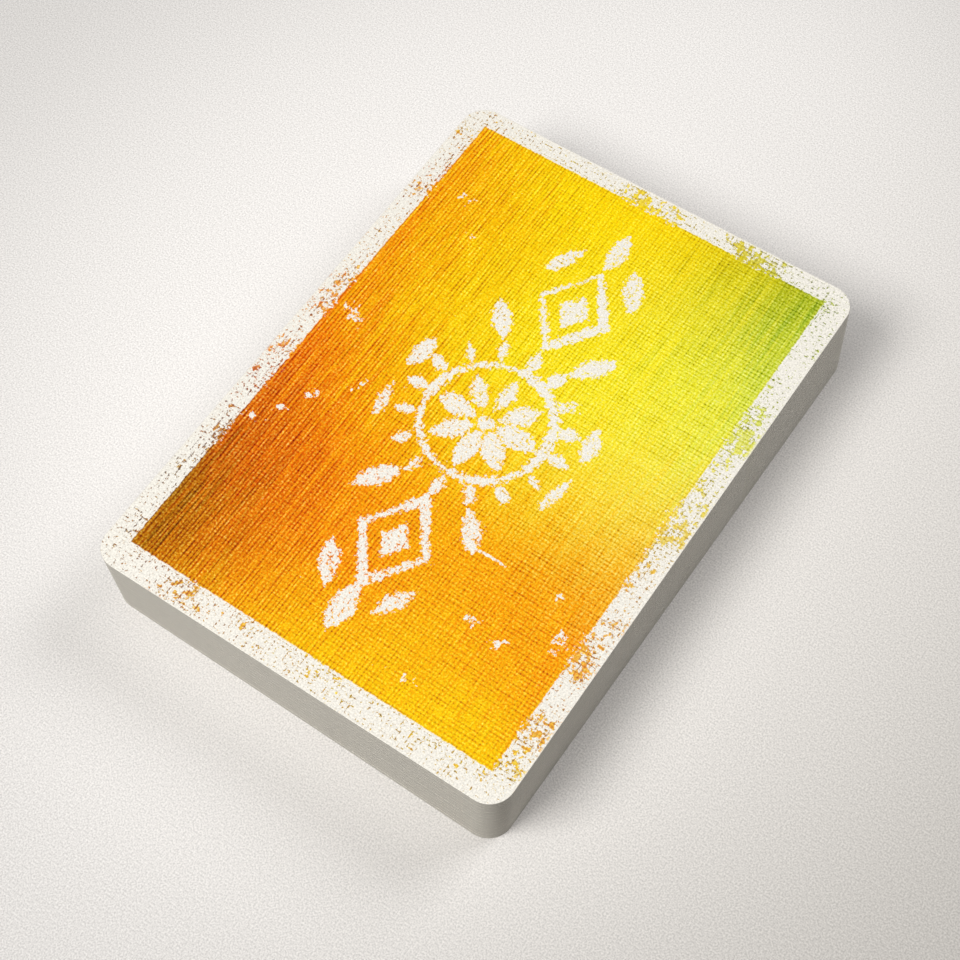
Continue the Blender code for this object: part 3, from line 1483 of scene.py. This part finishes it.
@dataclass
class Studio:
    """A pale table top, soft lights and a camera at the photograph's angle. Lengths are in metres."""

    camera_place: Triple = (0.07766, -0.10462, 0.23219)
    camera_right: Triple = (0.82312, 0.56731, -0.02530)
    camera_up: Triple = (-0.48598, 0.72676, 0.48543)
    lens_mm: float = 71.42
    sensor_mm: float = 36.0
    clip: Point = (0.01, 20.0)
    floor_reach: float = 4.0
    # Painted light: the board's colour is lighter to the left and in an oval pool round the deck
    floor_lit: str = "F3F0EE"
    floor_dim: str = "D0CCC7"
    dim_side: Span = (-0.022, 0.116, 0.0, 1.0)
    painted_pool_shift: Triple = (0.001, -0.022, 0.0)
    painted_pool_scale: Triple = (1.0, 0.914, 1.0)
    painted_pool_tone: Span = (0.05, 0.118, 1.0, 0.78)
    grain_scale: float = 4200.0
    grain_mm: float = 0.01
    grain_tone: Span = (0.3, 0.7, 0.83, 1.17)
    grain_roughness: Span = (0.3, 0.7, 0.95, 0.85)
    floor_specular: float = 0.2
    backdrop: str = "D9D6D1"
    backdrop_share: Span = (0.11, 0.27, 0.0, 1.0)
    fill: float = 0.03
    lamps: tuple[Softbox, ...] = (
        Softbox("key_softbox", 336.0, 51.5, 0.36, 4.6),
        Softbox("overhead_softbox", 335.0, 78.0, 0.48, 1.4),
        Softbox("back_softbox", 152.0, 45.0, 0.36, 2.45, "FFFFFF"),
    )

    def camera(self) -> None:
        """Places the camera."""
        lens = bpy.data.cameras.new("camera")
        lens.lens = self.lens_mm
        lens.sensor_width = self.sensor_mm
        lens.clip_start, lens.clip_end = self.clip
        camera = set_out("camera", lens)
        right = Vector(self.camera_right).normalized()
        up = Vector(self.camera_up)
        up = (up - right * up.dot(right)).normalized()
        turn = Matrix((right, up, right.cross(up))).transposed()
        camera.matrix_world = Matrix.Translation(self.camera_place) @ turn.to_4x4()
        bpy.context.scene.camera = camera

    def seen(self, tree: Tree) -> Socket:
        """Adds a test whether a ray comes from the camera, straight or by a mirror or a glass.

        Args:
            tree: The nodes of a material or of the world.

        Returns:
            1 where it does, and 0 elsewhere.
        """
        rays = put("ShaderNodeLightPath", tree=tree).node.outputs
        seen = put(Op.MAXIMUM, rays["Is Camera Ray"], rays["Is Glossy Ray"])
        return put(Op.MAXIMUM, seen, rays["Is Transmission Ray"])

    def floor(self) -> None:
        """Lays the table top under the deck, with a pool of light painted into its colour."""
        reach = self.floor_reach
        corners = [(-reach, -reach, 0.0), (reach, -reach, 0.0), (reach, reach, 0.0), (-reach, reach, 0.0)]
        mesh = bpy.data.meshes.new("table_top")
        mesh.from_pydata(corners, [], [(0, 1, 2, 3)])
        # Painted board: a pale matt ground that takes soft shadows
        material, tree = new_material("matt_white_board")
        place = put("ShaderNodeTexCoord", tree=tree).node.outputs["Object"]
        # Painted light: lighter to the left, and dimmer away from an oval pool round the deck
        across = put(PARTS, place)
        share = put(RANGE, across, *self.dim_side, **SMOOTH)
        tones = linear(self.floor_lit), linear(self.floor_dim)
        colour = put("ShaderNodeMix", share, *tones, data_type="RGBA")
        oval = put(MAPPING, place, self.painted_pool_shift, None, self.painted_pool_scale)
        away = put(Vec.LENGTH, oval)
        dim = put(RANGE, away, *self.painted_pool_tone, **SMOOTH)

        # Its grain is too fine to show, so it is drawn coarser
        fibres = put(NOISE, place, self.grain_scale, 1.0)
        tone = put(RANGE, fibres, *self.grain_tone)
        # The painted pool of light scales the grain's tone
        tone = put(Op.MULTIPLY, tone, dim)
        colour = put(Vec.SCALE, colour, tone)
        roughness = put(RANGE, fibres, *self.grain_roughness)
        grain = put(Op.MULTIPLY, fibres, self.grain_mm * MM)
        board = coat(colour, roughness, grain, self.floor_specular)

        # Far from the deck the board is seen as the backdrop, without a horizon
        distance = put(Vec.LENGTH, place)
        far = put(RANGE, distance, *self.backdrop_share, **SMOOTH)
        far = put(Op.MULTIPLY, far, self.seen(tree))
        backdrop = put("ShaderNodeEmission", linear(self.backdrop), 1.0, tree=tree)
        put("ShaderNodeOutputMaterial", put("ShaderNodeMixShader", far, board, backdrop))
        mesh.materials.append(material)
        set_out("table_top", mesh)

    def world(self) -> None:
        """Fills the room with a little even light, and shows the backdrop behind the deck."""
        world = bpy.data.worlds.new("studio")
        world.use_nodes = True
        tree = world.node_tree
        tree.nodes.clear()
        fill = put("ShaderNodeBackground", linear("FFFFFF"), self.fill, tree=tree)
        backdrop = put("ShaderNodeBackground", linear(self.backdrop), 1.0, tree=tree)
        room = put("ShaderNodeMixShader", self.seen(tree), fill, backdrop)
        put("ShaderNodeOutputWorld", room)
        bpy.context.scene.world = world

    def build(self) -> None:
        """Sets up the floor, the lights and the camera."""
        self.floor()
        self.camera()
        self.world()
        for lamp in self.lamps:
            lamp.build()
        bpy.context.scene.view_settings.view_transform = "Standard"


def main() -> None:
    """Builds the deck and its studio."""
    logging.basicConfig(level=logging.INFO, format="%(message)s")
    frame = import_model()
    deck = Deck(frame["nodes"], frame["record"]["behaviour"]["bodies"])
    pieces = deck.build()
    for piece in pieces:
        LOG.info("%s: %d facets", piece.name, len(piece.data.polygons))
    Studio().build()


if __name__ == "__main__":
    main()
